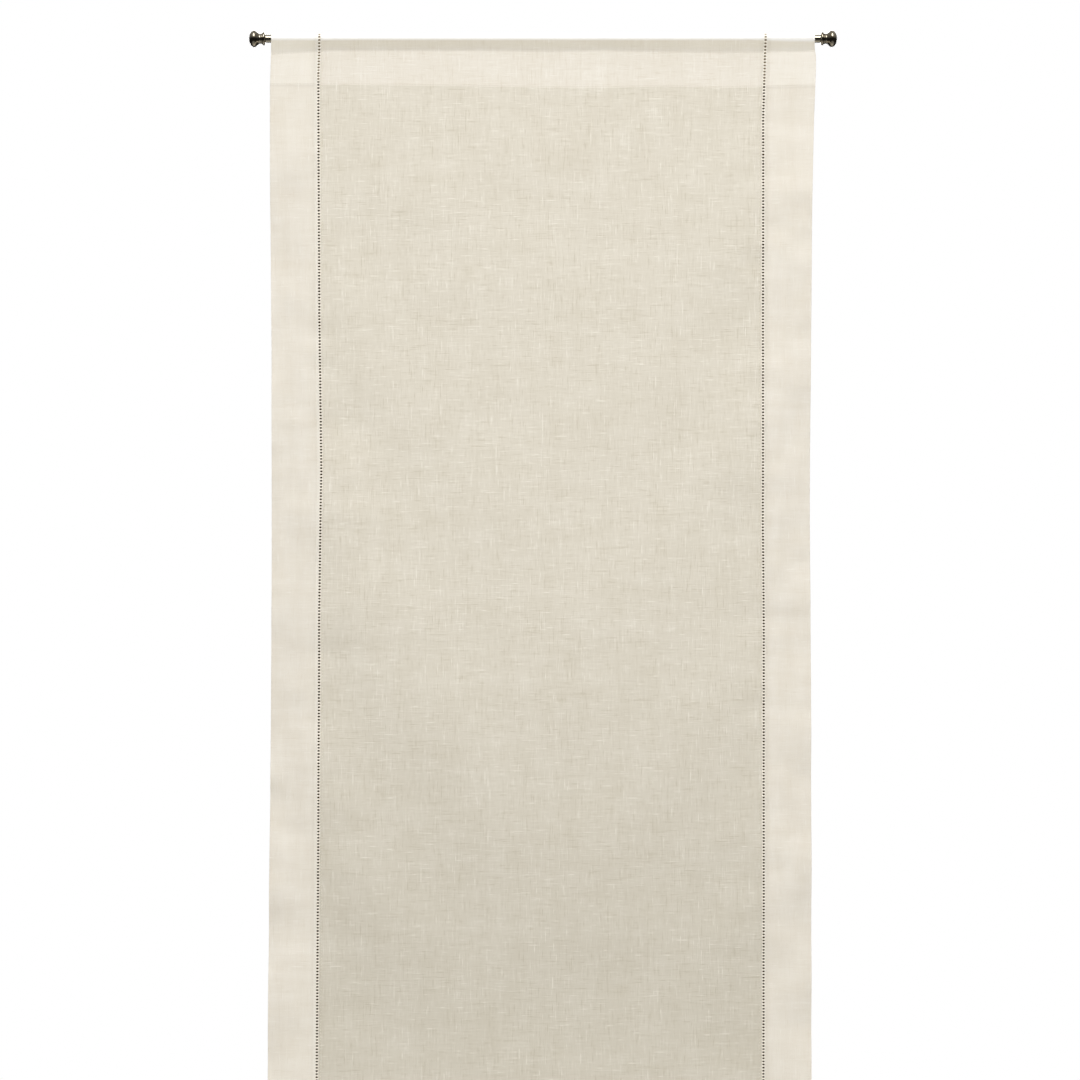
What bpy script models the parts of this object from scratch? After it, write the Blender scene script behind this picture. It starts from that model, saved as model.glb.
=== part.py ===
"""Linen curtain panel with a rod pocket, hung on a slim metal rod with screw-on knob finials.

Metres, +Z up. The origin lies on the rod's axis, half way along the panel. The panel's front faces -Y.
The header's pocket slides along the rod, the panel swings from the header's seam, and each finial
unscrews: its knob turns and carries the collar outwards along the rod's axis.
"""

import math

import bmesh
import bpy
from mathutils import Vector

# Driving dimensions of the cloth
PANEL_WIDTH = 1.0668          # 42 in finished width
PANEL_DROP = 2.123            # rod's axis to the bottom fold of an 84 in panel
HEADER_DEPTH = 0.0937         # rod's axis to the header's seam
POCKET_DEPTH = 0.0262         # rod's axis to the stitches that close the rod pocket
BORDER_WIDTH = 0.0955         # side fold to the middle of the hemstitching
LADDER_WIDTH = 0.0043         # drawn-thread ladder of the hemstitching
BOTTOM_HEM = 0.067            # depth of the bottom hem
CLOTH = 0.0009                # one layer of linen, with its loft
THREAD = 0.0004               # a row of sewing thread, as a flat bar
THREAD_TALL = 0.0009
STITCH_INSET = 0.0016         # from a row of stitches to the edge that it holds

# Driving dimensions of the rod and its finials
ROD_RADIUS = 0.00794          # 5/8 in tube
ROD_WALL = 0.0009
ROD_FREE = 0.0114             # bare rod between the panel's edge and the collar
PLUG_LENGTH = 0.015
STUD_RADIUS = 0.003           # M6
STUD_IN_PLUG = 0.0075
STUD_IN_KNOB = 0.0095
COLLAR_FOOT_RADIUS = 0.0086
COLLAR_RADIUS = 0.0133
COLLAR_END_RADIUS = 0.0108
COLLAR_LENGTH = 0.0066
WAIST_RADIUS = 0.0096
WAIST_AT = 0.0030             # these three run outwards from the knob's inner face
KNOB_WIDEST_AT = 0.0150
KNOB_LENGTH = 0.0260
KNOB_RADIUS = 0.0166

# Clearances
GAP = 0.0003                  # between pieces that touch
SEAM_GAP = 0.0009             # between header and panel, which leaves room for the swing

ROD_SIDES = 24                # an even number, turned so that a flat side faces straight down
TURNED_SIDES = 40
ARC_STEPS = 14
SWELL_STEPS = 6               # rings from one radius of a turned profile to the next

# Places worked out from the dimensions
HALF_WIDTH = PANEL_WIDTH / 2
SEAM = -HEADER_DEPTH
HEADER_FOOT = SEAM + SEAM_GAP / 2
PANEL_TOP = SEAM - SEAM_GAP / 2
PANEL_FOOT = -PANEL_DROP + CLOTH + GAP
HEM_TOP = -PANEL_DROP + BOTTOM_HEM
LADDER_AT = HALF_WIDTH - BORDER_WIDTH
COLLAR_AT = HALF_WIDTH + ROD_FREE
ROD_HALF = COLLAR_AT - GAP

SIDES = (("left", -1), ("right", 1))

LINEN = (0.73, 0.69, 0.60)
LINEN_FOLDED = (0.80, 0.76, 0.67)
THREAD_COLOR = (0.62, 0.57, 0.46)
BRONZE = (0.16, 0.13, 0.10)
STEEL = (0.55, 0.54, 0.52)


def clear_scene():
    for item in list(bpy.data.objects):
        bpy.data.objects.remove(item, do_unlink=True)


def material(name, color, roughness, metallic=0.0):
    made = bpy.data.materials.new(name)
    made.use_nodes = True
    shader = made.node_tree.nodes["Principled BSDF"]
    shader.inputs["Base Color"].default_value = (*color, 1)
    shader.inputs["Roughness"].default_value = roughness
    shader.inputs["Metallic"].default_value = metallic
    made.diffuse_color = (*color, 1)
    return made


def joint_empty(name, place, parent=None):
    """An empty on a joint's axis, for the pieces that move together."""
    made = bpy.data.objects.new(name, None)
    made.empty_display_size = 0.02
    made.parent = parent
    made.location = place
    bpy.context.scene.collection.objects.link(made)
    return made


def add_piece(name, bm, parent, finish):
    """One closed solid as an object. The bmesh is built round the parent's own origin."""
    bmesh.ops.recalc_face_normals(bm, faces=bm.faces)
    mesh = bpy.data.meshes.new(name)
    bm.to_mesh(mesh)
    bm.free()
    mesh.materials.append(finish)
    piece = bpy.data.objects.new(name, mesh)
    piece.parent = parent
    bpy.context.scene.collection.objects.link(piece)
    return piece


def slab(name, x_span, y_span, z_span, parent, finish):
    """A flat layer of cloth or a bar of thread, given by its spans in the whole object's frame."""
    bm = bmesh.new()
    corners = [
        bm.verts.new(Vector((x, y, z)) - parent.location)
        for z in z_span
        for x, y in ((x_span[0], y_span[0]), (x_span[1], y_span[0]), (x_span[1], y_span[1]), (x_span[0], y_span[1]))
    ]
    bmesh.ops.convex_hull(bm, input=corners)
    return add_piece(name, bm, parent, finish)


def extruded(name, outline, parent, finish):
    """An outline of (y, z) points carried right across the panel, from side fold to side fold."""
    bm = bmesh.new()
    face = bm.faces.new([bm.verts.new(Vector((-HALF_WIDTH, y, z)) - parent.location) for y, z in outline])
    grown = bmesh.ops.extrude_face_region(bm, geom=[face])["geom"]
    moved = [item for item in grown if isinstance(item, bmesh.types.BMVert)]
    bmesh.ops.translate(bm, vec=(PANEL_WIDTH, 0, 0), verts=moved)
    bm.faces.ensure_lookup_table()
    return add_piece(name, bm, parent, finish)


def turned(name, profile, sides, side, parent, finish):
    """A turned solid from a closed profile of (distance outwards, radius) points, on the rod's axis.

    Points of radius 0 lie on the axis. The distances run outwards from the parent's origin.
    """
    bm = bmesh.new()
    rings = []
    for along, radius in profile:
        if radius == 0:
            rings.append([bm.verts.new((side * along, 0, 0))])
            continue
        angles = [2 * math.pi * (i + 0.5) / sides for i in range(sides)]
        rings.append([bm.verts.new((side * along, radius * math.sin(a), radius * math.cos(a))) for a in angles])
    for first, second in zip(rings, rings[1:] + rings[:1]):
        for i in range(sides):
            j = (i + 1) % sides
            corners = [first[i % len(first)], first[j % len(first)], second[j % len(second)], second[i % len(second)]]
            face = list(dict.fromkeys(corners))
            if len(face) > 2:
                bm.faces.new(face)
    piece = add_piece(name, bm, parent, finish)
    piece.data.shade_smooth()
    piece.data.set_sharp_from_angle(angle=math.radians(40))
    return piece


def swell(*stops):
    """Points of a turned outline that runs smoothly through (distance, radius) stops."""
    points = [stops[0]]
    for (a, r), (b, s) in zip(stops, stops[1:]):
        for i in range(1, SWELL_STEPS + 1):
            t = i / SWELL_STEPS
            points.append((a + (b - a) * t, r + (s - r) * (1 - math.cos(math.pi * t)) / 2))
    return points


# The header: a pocket folded over the rod, front layer and back layer

def pocket_centre_line(side):
    """The middle of one layer of the pocket, from the ridge above the rod down to the header's foot.

    side is -1 for the front layer and 1 for the back one. The cloth follows the rod as far as the
    tangent that meets the pocket's stitches, and then hangs flat.
    """
    round_rod = ROD_RADIUS + GAP + CLOTH / 2
    flat = (GAP + CLOTH) / 2
    reach = math.hypot(flat, POCKET_DEPTH)
    leaves = math.atan2(-POCKET_DEPTH, flat) + math.acos(round_rod / reach)
    ridge = math.pi / 2 - GAP / 2 / round_rod
    arc = [ridge + (leaves - ridge) * i / ARC_STEPS for i in range(ARC_STEPS + 1)]
    line = [(round_rod * math.cos(a), round_rod * math.sin(a)) for a in arc]
    line += [(flat, -POCKET_DEPTH), (flat, HEADER_FOOT)]
    return [(side * y, z) for y, z in line]


def thickened(line, thickness):
    """The outline of a strip of even thickness along a line of (y, z) points."""
    points = [Vector(p) for p in line]
    steps = [(b - a).normalized() for a, b in zip(points, points[1:])]
    near, far = [], []
    for i, p in enumerate(points):
        before, after = steps[max(i - 1, 0)], steps[min(i, len(steps) - 1)]
        across = Vector((-(before + after).y, (before + after).x)).normalized()
        offset = across * thickness / 2 / across.dot(Vector((-after.y, after.x)))
        near.append(tuple(p + offset))
        far.append(tuple(p - offset))
    return near + far[::-1]


def layer(depth, side):
    """The span in y of one layer of cloth: depth 0 is next to the middle, side -1 is the front."""
    inner = GAP / 2 + depth * (CLOTH + GAP)
    return sorted((side * inner, side * (inner + CLOTH)))


def thread_span(front_of):
    """The span in y of a row of thread that lies on the front of a layer."""
    return (front_of - GAP - THREAD, front_of - GAP)


def build_header(header):
    for name, side in (("header_front", -1), ("header_turnback", 1)):
        extruded(name, thickened(pocket_centre_line(side), CLOTH), header, material(name, LINEN_FOLDED, 0.9))
    front = layer(0, -1)[0]
    for name, height in (("pocket_stitch_row", -POCKET_DEPTH - STITCH_INSET), ("header_stitch_row", HEADER_FOOT + STITCH_INSET)):
        span = (height - THREAD_TALL / 2, height + THREAD_TALL / 2)
        slab(name, (-HALF_WIDTH, HALF_WIDTH), thread_span(front), span, header, material(name, THREAD_COLOR, 0.8))


# The panel: centre cloth, folded side borders, hemstitching and bottom hem

def build_panel(panel):
    drop = (PANEL_FOOT, PANEL_TOP)
    inner = LADDER_AT - LADDER_WIDTH / 2 - GAP
    outer = LADDER_AT + LADDER_WIDTH / 2 + GAP
    slab("face_cloth", (-inner, inner), layer(0, -1), drop, panel, material("face_cloth", LINEN, 0.9))
    for word, side in SIDES:
        border = sorted((side * outer, side * HALF_WIDTH))
        ladder = sorted((side * (inner + GAP), side * (outer - GAP)))
        for name, across, depth_side, color in (
            (f"border_{word}_front", border, -1, LINEN_FOLDED),
            (f"border_{word}_turnback", border, 1, LINEN_FOLDED),
            (f"hemstitch_{word}", ladder, -1, THREAD_COLOR),
        ):
            slab(name, across, layer(0, depth_side), drop, panel, material(name, color, 0.9))
    build_bottom_hem(panel)


def build_bottom_hem(panel):
    """The bottom hem folds under the panel and up behind the side borders' second layer."""
    front, (near, far) = layer(0, -1)[0], layer(1, 1)
    foot = -PANEL_DROP
    outline = [
        (front, foot), (far, foot), (far, HEM_TOP), (near, HEM_TOP),
        (near, foot + CLOTH), (front, foot + CLOTH),
    ]
    extruded("bottom_hem_turnback", outline, panel, material("bottom_hem_turnback", LINEN_FOLDED, 0.9))
    height = HEM_TOP - STITCH_INSET
    span = (height - THREAD_TALL / 2, height + THREAD_TALL / 2)
    slab(
        "bottom_stitch_row", (-HALF_WIDTH, HALF_WIDTH), thread_span(front), span, panel,
        material("bottom_stitch_row", THREAD_COLOR, 0.8),
    )


# The rod and its finials

def build_rod(rod):
    inside = ROD_RADIUS - ROD_WALL
    tube = [(-ROD_HALF, ROD_RADIUS), (ROD_HALF, ROD_RADIUS), (ROD_HALF, inside), (-ROD_HALF, inside)]
    turned("rod_tube", tube, ROD_SIDES, 1, rod, material("rod_tube", BRONZE, 0.3, 1.0))
    outside, thread = inside - GAP, STUD_RADIUS + GAP
    for word, side in SIDES:
        start, end = ROD_HALF - PLUG_LENGTH, ROD_HALF
        plug = [(start, outside), (end, outside), (end, thread), (start, thread)]
        turned(f"rod_plug_{word}", plug, ROD_SIDES, side, rod, material(f"rod_plug_{word}", STEEL, 0.4, 1.0))


def build_collar(word, side, collar):
    bore = STUD_RADIUS + GAP
    outline = swell((0, COLLAR_FOOT_RADIUS), (COLLAR_LENGTH / 2, COLLAR_RADIUS), (COLLAR_LENGTH, COLLAR_END_RADIUS))
    outline += [(COLLAR_LENGTH, bore), (0, bore)]
    turned(f"finial_collar_{word}", outline, TURNED_SIDES, side, collar, material(f"finial_collar_{word}", BRONZE, 0.25, 1.0))


def build_knob(word, side, knob):
    """The knob's round end is half an ellipse, and the stud is pressed into its blind hole."""
    hole = STUD_RADIUS + GAP
    outline = [(STUD_IN_KNOB + GAP, 0), (STUD_IN_KNOB + GAP, hole), (0, hole)]
    outline += swell((0, COLLAR_END_RADIUS), (WAIST_AT, WAIST_RADIUS), (KNOB_WIDEST_AT, KNOB_RADIUS))
    end = KNOB_LENGTH - KNOB_WIDEST_AT
    for i in range(1, 2 * SWELL_STEPS):
        turn = math.pi / 2 * i / (2 * SWELL_STEPS)
        outline.append((KNOB_WIDEST_AT + end * math.sin(turn), KNOB_RADIUS * math.cos(turn)))
    outline.append((KNOB_LENGTH, 0))
    turned(f"finial_knob_{word}", outline, TURNED_SIDES, side, knob, material(f"finial_knob_{word}", BRONZE, 0.22, 1.0))
    inner_end = COLLAR_LENGTH + GAP + GAP + STUD_IN_PLUG
    stud = [(-inner_end, 0), (-inner_end, STUD_RADIUS), (STUD_IN_KNOB, STUD_RADIUS), (STUD_IN_KNOB, 0)]
    turned(f"finial_stud_{word}", stud, ROD_SIDES, side, knob, material(f"finial_stud_{word}", STEEL, 0.35, 1.0))


def build():
    clear_scene()
    rod = joint_empty("rod_axis", (0, 0, 0))
    build_rod(rod)
    for word, side in SIDES:
        collar = joint_empty(f"{word}_collar_slide", (side * COLLAR_AT, 0, 0), rod)
        build_collar(word, side, collar)
        knob = joint_empty(f"{word}_knob_turn", (side * (COLLAR_LENGTH + GAP), 0, 0), collar)
        build_knob(word, side, knob)
    header = joint_empty("header_slide", (0, 0, 0), rod)
    build_header(header)
    panel = joint_empty("panel_swing", (0, 0, SEAM), header)
    build_panel(panel)


build()
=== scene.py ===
# %% [markdown]
# # A linen curtain panel on a metal rod
#
# The real thing is one length of semi-sheer linen. Its sides are folded double and held by a line of
# hemstitching, a ladder of pulled threads. Its top is folded over a slim rod, which ends in turned knobs.
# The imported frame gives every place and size. This script dresses that frame: the cloth is simulated, the
# hemstitching is built thread by thread, and each finish is made from shader nodes.

# %% Load the frame
import math

import bmesh
import bpy
import numpy as np
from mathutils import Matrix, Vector


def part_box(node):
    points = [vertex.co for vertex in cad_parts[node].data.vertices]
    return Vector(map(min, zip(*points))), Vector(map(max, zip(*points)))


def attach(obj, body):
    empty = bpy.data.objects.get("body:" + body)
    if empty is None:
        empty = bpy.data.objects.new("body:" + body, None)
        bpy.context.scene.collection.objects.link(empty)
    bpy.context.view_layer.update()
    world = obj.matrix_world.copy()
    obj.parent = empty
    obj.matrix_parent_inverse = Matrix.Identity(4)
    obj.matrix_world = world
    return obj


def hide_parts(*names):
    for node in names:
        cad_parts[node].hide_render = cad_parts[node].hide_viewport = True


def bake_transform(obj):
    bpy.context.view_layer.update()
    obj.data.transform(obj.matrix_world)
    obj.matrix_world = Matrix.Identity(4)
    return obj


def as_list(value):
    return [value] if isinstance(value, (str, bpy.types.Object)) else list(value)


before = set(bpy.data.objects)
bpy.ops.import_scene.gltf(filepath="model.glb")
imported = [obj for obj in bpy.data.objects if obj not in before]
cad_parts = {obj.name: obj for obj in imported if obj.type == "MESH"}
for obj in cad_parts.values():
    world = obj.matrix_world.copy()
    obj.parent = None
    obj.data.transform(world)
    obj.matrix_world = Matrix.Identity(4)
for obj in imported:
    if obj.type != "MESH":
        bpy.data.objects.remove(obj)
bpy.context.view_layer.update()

# %% [markdown]
# ## Places and sizes
#
# A maker measures the frame once and works out the rest. Every size below that belongs to the frame is
# read from one of its solids, so the looks follow if the frame is packed again with other sizes.

# %% Sizes read from the frame
ROD_SIDES = 24  # the frame's tube has flat sides, so its box lies inside its true radius


def low(node):
    return Vector(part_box(node)[0])


def high(node):
    return Vector(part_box(node)[1])


ROD_RADIUS = high("rod_tube").z / math.cos(math.pi / ROD_SIDES)
HALF_WIDTH = high("header_front").x
SEAM = (low("header_front").z + high("face_cloth").z) / 2
DRAWN_UP = 0.0030  # how far the cloth gathers above the frame's row of pocket stitches
ROW_INSIDE = 0.0016  # how far a row of stitches lies from the fold or edge beside it
POCKET_STITCH = (low("pocket_stitch_row").z + high("pocket_stitch_row").z) / 2 + ROW_INSIDE + DRAWN_UP
FOOT = low("bottom_hem_turnback").z
HEM_DEPTH = high("bottom_hem_turnback").z - FOOT
LADDER_AT = (low("hemstitch_right").x + high("hemstitch_right").x) / 2
LADDER_HALF = (high("hemstitch_right").x - low("hemstitch_right").x) / 2
print(f"rod radius {ROD_RADIUS * 1000:.2f} mm, panel {HALF_WIDTH * 2:.3f} m wide, foot at {FOOT:.3f} m")
print(f"header seam {SEAM * 1000:.1f} mm, ladder {LADDER_AT * 1000:.1f} mm from the middle")

# %% [markdown]
# ## Camera
#
# The panel hangs square to the viewer, with the rod near the top of the picture and the foot of the cloth
# below it. A long lens from six metres keeps its sides parallel.

# %% Camera
VIEW_WIDTH = 2.122  # metres of the panel's plane that the picture takes in
VIEW_FROM = 6.0
VIEW_DOWN = 0.985  # the picture's middle, below the rod's axis
VIEW_ASIDE = -0.0059  # and beside the panel's middle

camera_data = bpy.data.cameras.new("camera")
camera_data.sensor_width = 36
camera_data.lens = camera_data.sensor_width * VIEW_FROM / VIEW_WIDTH
camera = bpy.data.objects.new("camera", camera_data)
camera.location = (VIEW_ASIDE, -VIEW_FROM, -VIEW_DOWN)
camera.rotation_euler = (math.radians(90), 0, 0)
bpy.context.scene.collection.objects.link(camera)
bpy.context.scene.camera = camera
print(f"lens {camera_data.lens:.1f} mm")

# %% [markdown]
# ## Light
#
# Two wide soft lights, high up in front, make the cloth brightest at the top and let it fall off gently
# towards the floor. A low one fills in from below, a small one rims the ridge over the rod, and one stands
# behind for the back. The glow box is there for polished metal to mirror and hardly lights the cloth. The
# background is plain white to the eye, but dimmer to everything that it lights, with a dark horizon, so
# that the knobs have dark places to mirror as well.

# %% World
scene = bpy.context.scene
scene.view_settings.view_transform = "Standard"
world = bpy.data.worlds.new("studio")
scene.world = world
world.use_nodes = True
nodes, links = world.node_tree.nodes, world.node_tree.links
nodes.clear()
seen = nodes.new("ShaderNodeBackground")
seen.inputs["Color"].default_value = (1, 1, 1, 1)
lit_by = nodes.new("ShaderNodeBackground")
towards = nodes.new("ShaderNodeTexCoord")
direction = nodes.new("ShaderNodeSeparateXYZ")
height = nodes.new("ShaderNodeMapRange")
shades = nodes.new("ShaderNodeValToRGB")
height.inputs["From Min"].default_value = -1
links.new(towards.outputs["Generated"], direction.inputs[0])
links.new(direction.outputs[2], height.inputs["Value"])
links.new(height.outputs[0], shades.inputs["Fac"])
links.new(shades.outputs["Color"], lit_by.inputs["Color"])
# Grey by direction, from straight down at 0 to straight up at 1
SHADES_BY_HEIGHT = ((0.0, 0.46), (0.12, 0.36), (0.23, 0.03), (0.53, 0.03), (0.68, 0.34), (1.0, 0.60))
for number, (at, gray) in enumerate(SHADES_BY_HEIGHT):
    stop = shades.color_ramp.elements[number] if number < 2 else shades.color_ramp.elements.new(at)
    stop.position = at
    stop.color = (gray, gray * 0.99, gray * 0.97, 1)
choose = nodes.new("ShaderNodeMixShader")
path = nodes.new("ShaderNodeLightPath")
out = nodes.new("ShaderNodeOutputWorld")
links.new(path.outputs["Is Camera Ray"], choose.inputs["Fac"])
links.new(lit_by.outputs[0], choose.inputs[1])
links.new(seen.outputs[0], choose.inputs[2])
links.new(choose.outputs[0], out.inputs["Surface"])


# %% Lamps and floor
def soft_light(name, place, aim, size, watts, mirrored=True, lights_cloth=True):
    """A rectangular area light at place, turned to face aim. Polished metal shows it only if mirrored."""
    data = bpy.data.lights.new(name, "AREA")
    data.shape = "RECTANGLE"
    data.size, data.size_y = size
    data.energy = watts
    lamp = bpy.data.objects.new(name, data)
    lamp.location = place
    lamp.rotation_euler = (Vector(aim) - Vector(place)).to_track_quat("-Z", "Y").to_euler()
    lamp.visible_glossy, lamp.visible_diffuse = mirrored, lights_cloth
    scene.collection.objects.link(lamp)
    return lamp


soft_light("high_left", (-1.75, -5.0, 5.4), (0, 0, -0.5), (3.3, 4.2), 174)
soft_light("high_right", (1.75, -5.0, 5.4), (0, 0, -0.5), (3.3, 4.2), 248)
soft_light("low_front", (0.0, -4.6, -1.1), (0, 0, -1.1), (3.0, 1.2), 101, mirrored=False)
soft_light("over_rod", (0.0, -0.02, 0.9), (0, 0, 0), (1.6, 0.3), 6, mirrored=False)
soft_light("glow_box", (0.0, -4.6, 5.0), (0, 0, 0), (6.0, 5.6), 300, lights_cloth=False)
soft_light("behind", (0.0, 3.2, 0.9), (0, 0, -1.0), (3.0, 2.0), 120)

floor_mesh = bpy.data.meshes.new("floor")
FLOOR = FOOT - 0.30
floor_mesh.from_pydata(
    [(x, y, FLOOR) for x, y in ((-1.6, -0.4), (1.6, -0.4), (1.6, 1.4), (-1.6, 1.4))], [], [(0, 1, 2, 3)]
)
floor = bpy.data.objects.new("floor", floor_mesh)
scene.collection.objects.link(floor)
floor_paint = bpy.data.materials.new("floor_paint")
floor_paint.use_nodes = True
floor_paint.node_tree.nodes["Principled BSDF"].inputs["Base Color"].default_value = (0.72, 0.71, 0.69, 1)
floor_paint.node_tree.nodes["Principled BSDF"].inputs["Roughness"].default_value = 0.6
floor_mesh.materials.append(floor_paint)

# %% [markdown]
# ## How the cloth hangs
#
# Hemstitching draws a line of cloth up a little, and the border outside it then has more length than it
# needs, so it ripples. That is a job for a cloth simulation: one thin sheet is pinned along the pocket's
# stitches and made to shrink along the two ladders. Only the way it waves is kept. Every piece of cloth is
# later laid on that one wave, so that folded layers stay together.

# %% Simulate one sheet
COLUMNS, ROWS = 49, 91
DRAWN_IN = 0.004  # share of its length that a ladder shrinks by
SETTLE = 40


def hung_sheet():
    """Returns the sheet's x and z lines and how far each point swung forward or back."""
    across = np.linspace(-HALF_WIDTH, HALF_WIDTH, COLUMNS)
    down = np.linspace(POCKET_STITCH, FOOT, ROWS)
    x, z = np.meshgrid(across, down)
    start = 0.0008 * np.random.default_rng(3).standard_normal(x.shape)
    start[0] = 0.0007 * np.sin(9 * x[0])
    corner = np.arange((ROWS - 1) * COLUMNS).reshape(ROWS - 1, COLUMNS)[:, :-1].ravel()
    mesh = bpy.data.meshes.new("hung_sheet")
    mesh.from_pydata(
        np.stack([x, start, z], -1).reshape(-1, 3).tolist(),
        [],
        np.stack([corner, corner + 1, corner + 1 + COLUMNS, corner + COLUMNS], -1).tolist(),
    )
    sheet = bpy.data.objects.new("hung_sheet", mesh)
    scene.collection.objects.link(sheet)
    sheet.vertex_groups.new(name="pinned").add(list(range(COLUMNS)), 1.0, "REPLACE")
    drawn = sheet.vertex_groups.new(name="drawn")
    for side in (-1, 1):
        ladder = int(np.argmin(abs(across - side * LADDER_AT)))
        for step, weight in ((-1, 0.6), (0, 1.0), (1, 0.6)):
            drawn.add([row * COLUMNS + ladder + step for row in range(ROWS)], weight, "REPLACE")
    cloth = sheet.modifiers.new("Cloth", "CLOTH")
    cloth.settings.quality = 5
    cloth.settings.mass = 0.02
    cloth.settings.tension_stiffness = cloth.settings.compression_stiffness = 60
    cloth.settings.shear_stiffness = 20
    cloth.settings.bending_stiffness = 0.5
    cloth.settings.tension_damping = cloth.settings.compression_damping = 8
    cloth.settings.air_damping = 2
    cloth.settings.vertex_group_mass = "pinned"
    cloth.settings.vertex_group_shrink = "drawn"
    cloth.settings.shrink_min = 0.0
    cloth.settings.shrink_max = DRAWN_IN
    cloth.point_cache.frame_start, cloth.point_cache.frame_end = 1, SETTLE
    for number in range(1, SETTLE + 1):
        scene.frame_set(number)
    settled = sheet.evaluated_get(bpy.context.evaluated_depsgraph_get())
    points = np.empty(COLUMNS * ROWS * 3, np.float32)
    settled.data.vertices.foreach_get("co", points)
    bpy.data.objects.remove(sheet, do_unlink=True)
    scene.frame_set(1)
    return across, down, points.reshape(ROWS, COLUMNS, 3)[..., 1].astype(float)


sheet_x, sheet_z, sheet_swing = hung_sheet()
typical, most = sheet_swing.std() * 1000, abs(sheet_swing).max() * 1000
print(f"simulated wave: {typical:.1f} mm typical, {most:.1f} mm most")

# %% [markdown]
# ## From the simulation to one smooth wave
#
# The raw sheet still holds the grain of its own coarse grid. A short blur takes that away. The average of
# each row is taken out too, so that the panel hangs plumb. Finer creases, left by folding and handling,
# come from a lattice of random values that is smoothed between its corners.


# %% The wave as a function of place
def blurred(values, times):
    """A 1-2-1 blur down and across, repeated."""
    for _ in range(times):
        for axis in (0, 1):
            padded = np.concatenate([values.take([0], axis), values, values.take([-1], axis)], axis)
            count = values.shape[axis]
            before, here, after = (padded.take(range(k, k + count), axis) for k in range(3))
            values = (before + 2 * here + after) / 4
    return values


wave = blurred(sheet_swing, 2)
wave -= wave.mean(axis=1, keepdims=True)


def on_grid(values, x_line, z_line, x, z):
    """Values of an even grid, read smoothly at any x and z."""
    column = np.clip((x - x_line[0]) / (x_line[1] - x_line[0]), 0, len(x_line) - 1.001)
    row = np.clip((z - z_line[0]) / (z_line[1] - z_line[0]), 0, len(z_line) - 1.001)
    i, j = row.astype(int), column.astype(int)
    t, u = row - i, column - j
    t, u = t * t * (3 - 2 * t), u * u * (3 - 2 * u)
    top = values[i, j] * (1 - u) + values[i, j + 1] * u
    bottom = values[i + 1, j] * (1 - u) + values[i + 1, j + 1] * u
    return top * (1 - t) + bottom * t


def crease(x, z, cell_x, cell_z, seed):
    """Smooth random waves between -1 and 1 whose size is cell_x by cell_z."""
    across = np.arange(-HALF_WIDTH - cell_x, HALF_WIDTH + 2 * cell_x, cell_x)
    down = np.arange(0.05, FOOT - 2 * cell_z, -cell_z)
    lattice = np.random.default_rng(seed).uniform(-1, 1, (len(down), len(across)))
    return on_grid(lattice, across, down, x, z)


def settle_in(value, start, end):
    """0 before start, 1 after end, and smooth between."""
    t = np.clip((value - start) / (end - start), 0, 1)
    return t * t * (3 - 2 * t)


BORDER_WAVES, CENTRE_WAVES = 1.55, 0.40  # shares of the simulated wave that are kept
BORDER_CREASES, CENTRE_CREASES = 3.0, 0.7  # the same for the creases, against the heights in swing
# How far the side edges and the ladders stray outwards from true, at heights in metres
LEFT_STRAY = (
    (0.0, 0.0), (-0.09, 0.003), (-0.32, 0.003), (-0.65, 0.0), (-1.10, 0.0), (-1.50, 0.003), (-2.12, 0.008),
)
RIGHT_STRAY = (
    (-0.015, 0.0), (-0.035, 0.003), (-0.06, 0.003), (-0.16, -0.001), (-0.32, -0.005), (-0.90, -0.009),
    (-1.26, -0.007), (-2.12, -0.006),
)
LEFT_LADDER_STRAY = (
    (0.0, 0.001), (-0.07, 0.0035), (-0.26, 0.003), (-0.55, 0.0015), (-0.85, -0.0025), (-1.14, 0.002),
    (-1.54, 0.0035), (-2.12, 0.007),
)
RIGHT_LADDER_STRAY = ((0.0, -0.001), (-0.16, -0.0055), (-0.95, -0.006), (-1.14, -0.004), (-2.12, -0.005))


def stray(x, z):
    """The sideways shift of a point. It is known at each edge and ladder, and fades towards the middle."""
    shifts = []
    for edge_stops, ladder_stops in ((LEFT_STRAY, LEFT_LADDER_STRAY), (RIGHT_STRAY, RIGHT_LADDER_STRAY)):
        edge, ladder = (np.interp(z, *np.array(stops[::-1]).T) for stops in (edge_stops, ladder_stops))
        out = np.clip((abs(x) - LADDER_AT) / (HALF_WIDTH - LADDER_AT), 0, None)
        shifts.append(ladder * np.clip(abs(x) / LADDER_AT, 0, 1) ** 2 + (edge - ladder) * out)
    return np.where(x < 0, -shifts[0], shifts[1])


# How far the pocket's stitches and the header's seam waver upwards, at places across the panel
POCKET_WAVER = (
    (-0.53, -0.006), (-0.41, 0.0005), (-0.10, 0.001), (0.01, -0.001), (0.13, 0.001), (0.34, -0.003),
    (0.53, -0.0005),
)
SEAM_WAVER = (
    (-0.53, 0.003), (-0.37, 0.003), (-0.14, 0.0), (0.03, -0.003), (0.12, -0.003), (0.23, 0.0), (0.36, -0.003),
    (0.53, 0.0005),
)
WAVER_ENDS = (SEAM - 0.12, SEAM, POCKET_STITCH, -ROD_RADIUS / 2)


def smooth_line(x, stops):
    """A curve through (x, value) stops, without corners."""
    at, value = np.array(stops).T
    fine = np.linspace(-HALF_WIDTH - 0.05, HALF_WIDTH + 0.05, 240)
    rounded = np.convolve(np.pad(np.interp(fine, at, value), 6, "edge"), np.hanning(15)[1:-1] / 7, "valid")
    return np.interp(x, fine, rounded)


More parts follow.
